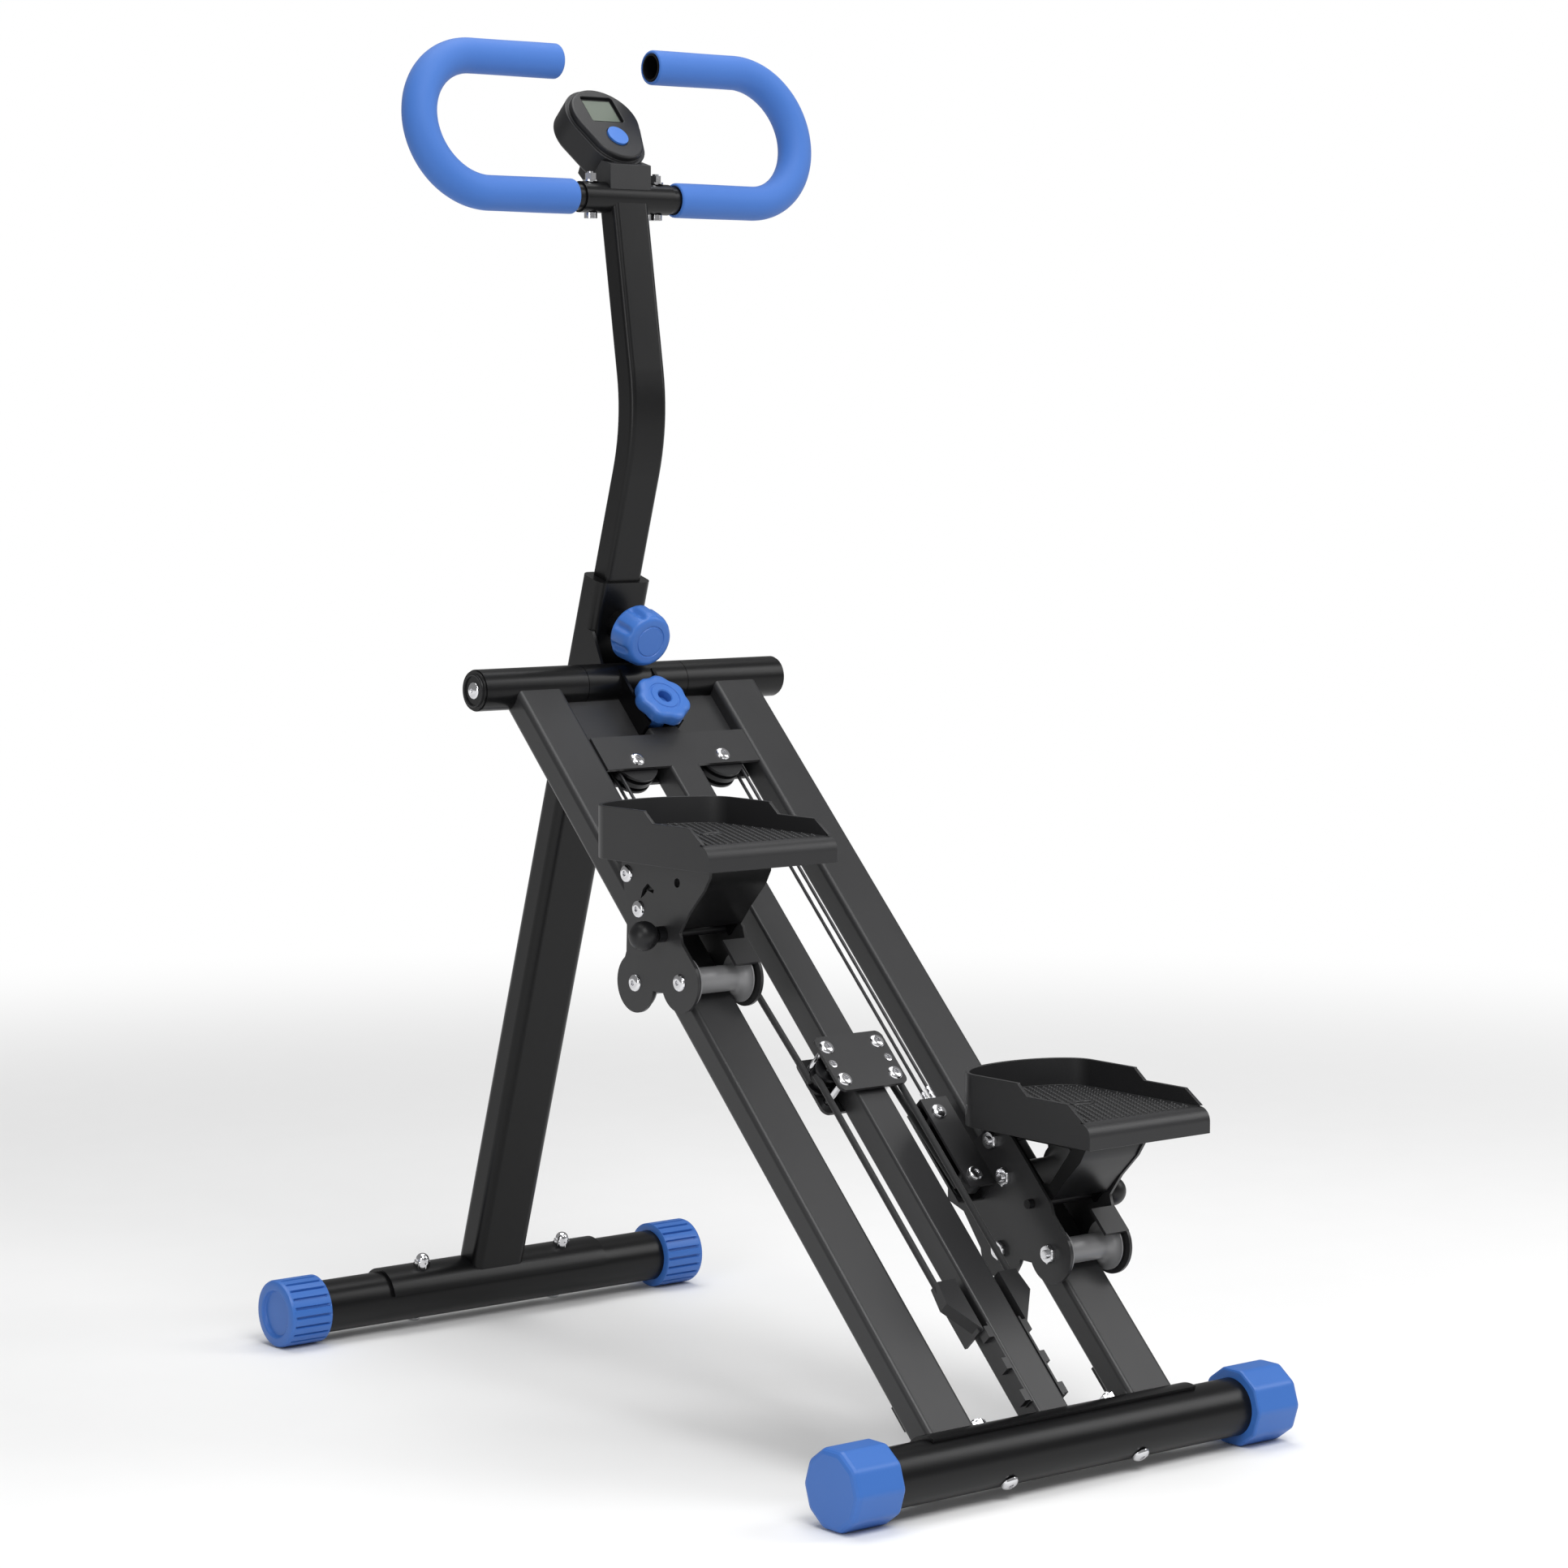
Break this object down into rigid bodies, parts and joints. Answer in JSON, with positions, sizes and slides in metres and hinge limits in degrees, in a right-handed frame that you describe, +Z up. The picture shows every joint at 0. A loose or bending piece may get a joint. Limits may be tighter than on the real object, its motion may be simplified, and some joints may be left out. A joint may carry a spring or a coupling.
{
  "type": "folding climbing stepper",
  "caption": "Folding climbing stepper: foot pedals on roller carriages run up two sloping rails, joined by a cable, with a height-adjustable handle and a display.",
  "frame": {"origin": "on the floor at the middle of the footprint", "axes": "+Z up; +X to the user's right; +Y forward, from the rails' feet to the post's foot"},
  "size_m": [0.495, 0.8976, 1.2171],
  "materials": {
    "black_paint": "satin powder coat",
    "blue_plastic": "satin moulded",
    "foam_grip": "matte foam",
    "black_plastic": "satin moulded",
    "grey_roller": "satin moulded",
    "chrome_screws": "polished",
    "steel_cable": "drawn wire",
    "elastic_cord": "woven cover",
    "display": "glossy liquid crystal panel"
  },
  "bodies": {
    "front_frame": {"front_base_tube": "black_paint", "front_end_caps": "blue_plastic", "front_base_bolts": "chrome_screws", "front_saddle": "black_paint", "left_rail": "black_paint", "right_rail": "black_paint", "pivot_tube_ends": "black_paint", "pivot_axle": "black_plastic", "cross_plates": "black_paint", "centre_tube": "black_paint", "rail_stops": "black_plastic", "block_plates": "black_paint", "frame_screws": "chrome_screws", "top_cable": "steel_cable", "left_drive_cables": "steel_cable", "right_drive_cables": "steel_cable", "left_cord": "elastic_cord", "right_cord": "elastic_cord", "anchor_cords": "elastic_cord"},
    "rear_frame": {"rear_base_tube": "black_paint", "rear_end_caps": "blue_plastic", "rear_base_bolts": "chrome_screws", "main_post": "black_paint", "post_sleeve": "black_plastic", "pivot_tube_middle": "black_paint"},
    "handle": {"mast": "black_paint", "handle_tubes": "black_paint", "grips": "foam_grip", "handle_bolts": "chrome_screws", "computer_housing": "black_plastic", "computer_screen": "display", "computer_bracket": "black_plastic"},
    "computer_button": {"computer_button": "blue_plastic"},
    "height_knob": {"height_knob": "blue_plastic"},
    "lock_knob": {"lock_knob": "blue_plastic"},
    "anchor": {"resistance_anchor": "black_paint"},
    "left_carriage": {"left_carriage_frame": "black_paint", "left_carriage_bolts": "chrome_screws", "left_cable_hitch": "black_paint"},
    "left_pedal": {"left_pedal": "black_plastic", "left_pedal_bracket": "black_paint"},
    "left_lower_roller": {"left_lower_roller": "grey_roller"},
    "left_upper_roller": {"left_upper_roller": "grey_roller"},
    "left_rear_roller": {"left_rear_roller": "grey_roller"},
    "left_hitch_pulley": {"left_hitch_pulley": "black_plastic"},
    "left_top_pulley": {"left_top_pulley": "black_plastic"},
    "left_block_pulley": {"left_block_pulley": "black_plastic"},
    "left_pull_pin": {"left_pull_pin": "black_plastic"},
    "right_carriage": {"right_carriage_frame": "black_paint", "right_carriage_bolts": "chrome_screws", "right_cable_hitch": "black_paint"},
    "right_pedal": {"right_pedal": "black_plastic", "right_pedal_bracket": "black_paint"},
    "right_lower_roller": {"right_lower_roller": "grey_roller"},
    "right_upper_roller": {"right_upper_roller": "grey_roller"},
    "right_rear_roller": {"right_rear_roller": "grey_roller"},
    "right_hitch_pulley": {"right_hitch_pulley": "black_plastic"},
    "right_top_pulley": {"right_top_pulley": "black_plastic"},
    "right_block_pulley": {"right_block_pulley": "black_plastic"},
    "right_pull_pin": {"right_pull_pin": "black_plastic"}
  },
  "joints": [
    {"name": "frame_fold", "type": "hinge", "parent": "front_frame", "child": "rear_frame", "pos_m": [0, 0.18302, 0.63226], "axis": [-1, 0, 0], "range_deg": [0, 58]},
    {"name": "handle_height", "type": "slide", "parent": "rear_frame", "child": "handle", "axis": [0, -0.2985, 0.9544], "range_m": [0, 0.15]},
    {"name": "left_carriage_slide", "type": "slide", "parent": "front_frame", "child": "left_carriage", "axis": [0, 0.7059, 0.7083], "range_m": [-0.352, 0.03], "deforming": ["left_drive_cables", "left_cord"]},
    {"name": "right_carriage_slide", "type": "slide", "parent": "front_frame", "child": "right_carriage", "axis": [0, 0.7059, 0.7083], "range_m": [-0.03, 0.352], "deforming": ["right_drive_cables", "right_cord"]},
    {"name": "left_pedal_fold", "type": "hinge", "parent": "left_carriage", "child": "left_pedal", "pos_m": [-0.112, -0.0144, 0.48209], "axis": [-1, 0, 0], "range_deg": [0, 27]},
    {"name": "left_lower_roller_turn", "type": "hinge", "parent": "left_carriage", "child": "left_lower_roller", "pos_m": [-0.112, -0.0894, 0.39409], "axis": [1, 0, 0], "range_deg": [-151, 1707]},
    {"name": "left_upper_roller_turn", "type": "hinge", "parent": "left_carriage", "child": "left_upper_roller", "pos_m": [-0.112, -0.03141, 0.45259], "axis": [1, 0, 0], "range_deg": [-151, 1707]},
    {"name": "left_rear_roller_turn", "type": "hinge", "parent": "left_carriage", "child": "left_rear_roller", "pos_m": [-0.112, -0.02597, 0.38734], "axis": [1, 0, 0], "range_deg": [-1707, 151]},
    {"name": "left_hitch_pulley_turn", "type": "hinge", "parent": "left_carriage", "child": "left_hitch_pulley", "pos_m": [-0.058, -0.00333, 0.44525], "axis": [0, -0.7083, 0.7059], "range_deg": [-196, 2246]},
    {"name": "left_top_pulley_turn", "type": "hinge", "parent": "front_frame", "child": "left_top_pulley", "pos_m": [-0.049, 0.11102, 0.56], "axis": [0, -0.7083, 0.7059], "range_deg": [-91, 1014]},
    {"name": "left_block_pulley_turn", "type": "hinge", "parent": "front_frame", "child": "left_block_pulley", "pos_m": [-0.031, -0.14133, 0.30677], "axis": [0, -0.7083, 0.7059], "range_deg": [-162, 1839]},
    {"name": "left_pin_pull", "type": "slide", "parent": "left_carriage", "child": "left_pull_pin", "axis": [-1, 0, 0], "range_m": [0, 0.012], "stiffness_N_per_m": 600, "springref_m": -0.004},
    {"name": "right_pedal_fold", "type": "hinge", "parent": "right_carriage", "child": "right_pedal", "pos_m": [0.112, -0.2417, 0.254], "axis": [-1, 0, 0], "range_deg": [0, 27]},
    {"name": "right_lower_roller_turn", "type": "hinge", "parent": "right_carriage", "child": "right_lower_roller", "pos_m": [0.112, -0.3167, 0.166], "axis": [1, 0, 0], "range_deg": [-1707, 151]},
    {"name": "right_upper_roller_turn", "type": "hinge", "parent": "right_carriage", "child": "right_upper_roller", "pos_m": [0.112, -0.2587, 0.2245], "axis": [1, 0, 0], "range_deg": [-1707, 151]},
    {"name": "right_rear_roller_turn", "type": "hinge", "parent": "right_carriage", "child": "right_rear_roller", "pos_m": [0.112, -0.25326, 0.15925], "axis": [1, 0, 0], "range_deg": [-151, 1707]},
    {"name": "right_hitch_pulley_turn", "type": "hinge", "parent": "right_carriage", "child": "right_hitch_pulley", "pos_m": [0.058, -0.23062, 0.21717], "axis": [0, -0.7083, 0.7059], "range_deg": [-196, 2246]},
    {"name": "right_top_pulley_turn", "type": "hinge", "parent": "front_frame", "child": "right_top_pulley", "pos_m": [0.049, 0.11102, 0.56], "axis": [0, -0.7083, 0.7059], "range_deg": [-91, 1014]},
    {"name": "right_block_pulley_turn", "type": "hinge", "parent": "front_frame", "child": "right_block_pulley", "pos_m": [0.031, -0.14133, 0.30677], "axis": [0, -0.7083, 0.7059], "range_deg": [-162, 1839]},
    {"name": "right_pin_pull", "type": "slide", "parent": "right_carriage", "child": "right_pull_pin", "axis": [1, 0, 0], "range_m": [0, 0.012], "stiffness_N_per_m": 600, "springref_m": -0.004},
    {"name": "anchor_slide", "type": "slide", "parent": "front_frame", "child": "anchor", "axis": [0, -0.7059, -0.7083], "range_m": [0, 0.062], "deforming": ["anchor_cords"]},
    {"name": "height_knob_pull", "type": "slide", "parent": "rear_frame", "child": "height_knob", "axis": [0, -0.9544, -0.2985], "range_m": [0, 0.008], "stiffness_N_per_m": 800, "springref_m": -0.003},
    {"name": "lock_knob_turn", "type": "hinge", "parent": "rear_frame", "child": "lock_knob", "pos_m": [0, 0.14984, 0.59896], "axis": [0, -0.7083, 0.7059], "range_deg": [0, 720]},
    {"name": "computer_button_press", "type": "slide", "parent": "handle", "child": "computer_button", "axis": [0, 0.7373, -0.6756], "range_m": [0, 0.0012], "stiffness_N_per_m": 400, "springref_m": -0.001}
  ],
  "couplings": [
    {"joint": "right_carriage_slide", "follows": "left_carriage_slide", "ratio": -1},
    {"joint": "left_lower_roller_turn", "follows": "left_carriage_slide", "rad_per_m": -84.388},
    {"joint": "left_upper_roller_turn", "follows": "left_carriage_slide", "rad_per_m": -84.388},
    {"joint": "left_rear_roller_turn", "follows": "left_carriage_slide", "rad_per_m": 84.388},
    {"joint": "left_hitch_pulley_turn", "follows": "left_carriage_slide", "rad_per_m": -111.11},
    {"joint": "left_top_pulley_turn", "follows": "left_carriage_slide", "rad_per_m": -50},
    {"joint": "left_block_pulley_turn", "follows": "left_carriage_slide", "rad_per_m": -90.909},
    {"joint": "right_lower_roller_turn", "follows": "left_carriage_slide", "rad_per_m": 84.388},
    {"joint": "right_upper_roller_turn", "follows": "left_carriage_slide", "rad_per_m": 84.388},
    {"joint": "right_rear_roller_turn", "follows": "left_carriage_slide", "rad_per_m": -84.388},
    {"joint": "right_hitch_pulley_turn", "follows": "left_carriage_slide", "rad_per_m": -111.11},
    {"joint": "right_top_pulley_turn", "follows": "left_carriage_slide", "rad_per_m": -50},
    {"joint": "right_block_pulley_turn", "follows": "left_carriage_slide", "rad_per_m": -90.909}
  ]
}
